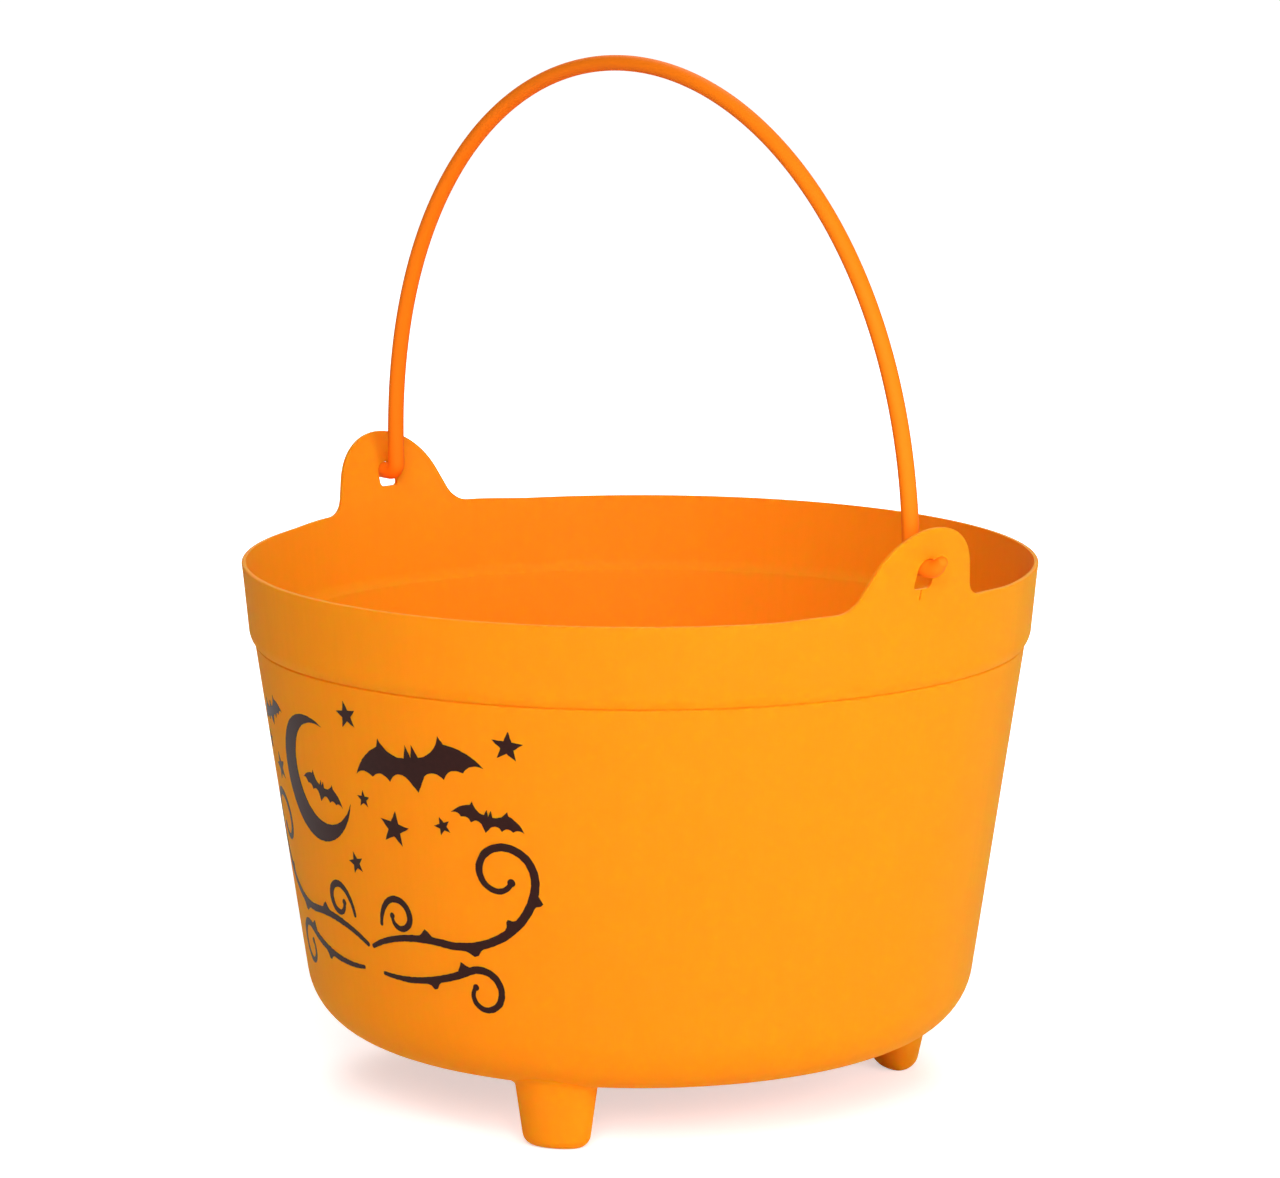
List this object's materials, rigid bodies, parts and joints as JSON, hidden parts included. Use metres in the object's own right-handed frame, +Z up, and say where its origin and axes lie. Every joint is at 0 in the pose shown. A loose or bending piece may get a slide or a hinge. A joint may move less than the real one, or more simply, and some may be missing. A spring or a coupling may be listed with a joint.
{
  "type": "cauldron bucket",
  "caption": "Round plastic treat bucket shaped like a witch's cauldron, with a step collar, two ears, hollow feet and a swinging bail.",
  "frame": {"origin": "on the bucket's axis, on the surface that its feet stand on", "axes": "+Z up along the bucket's axis, the two ears on the X axis, the printed front faces -Y"},
  "size_m": [0.2536, 0.23, 0.3007],
  "materials": {
    "bucket_plastic": "satin moulded orange polypropylene",
    "bail_plastic": "satin moulded orange polypropylene",
    "print_ink": "dark printing ink on the bucket's front"
  },
  "bodies": {
    "bucket": {"cauldron_bucket": "bucket_plastic"},
    "bail": {"bail_handle": "bail_plastic"}
  },
  "joints": [
    {"name": "bail_swing", "type": "hinge", "parent": "bucket", "child": "bail", "pos_m": [0, 0, 0.1674], "axis": [1, 0, 0], "range_deg": [-101.8, 98.2]}
  ]
}
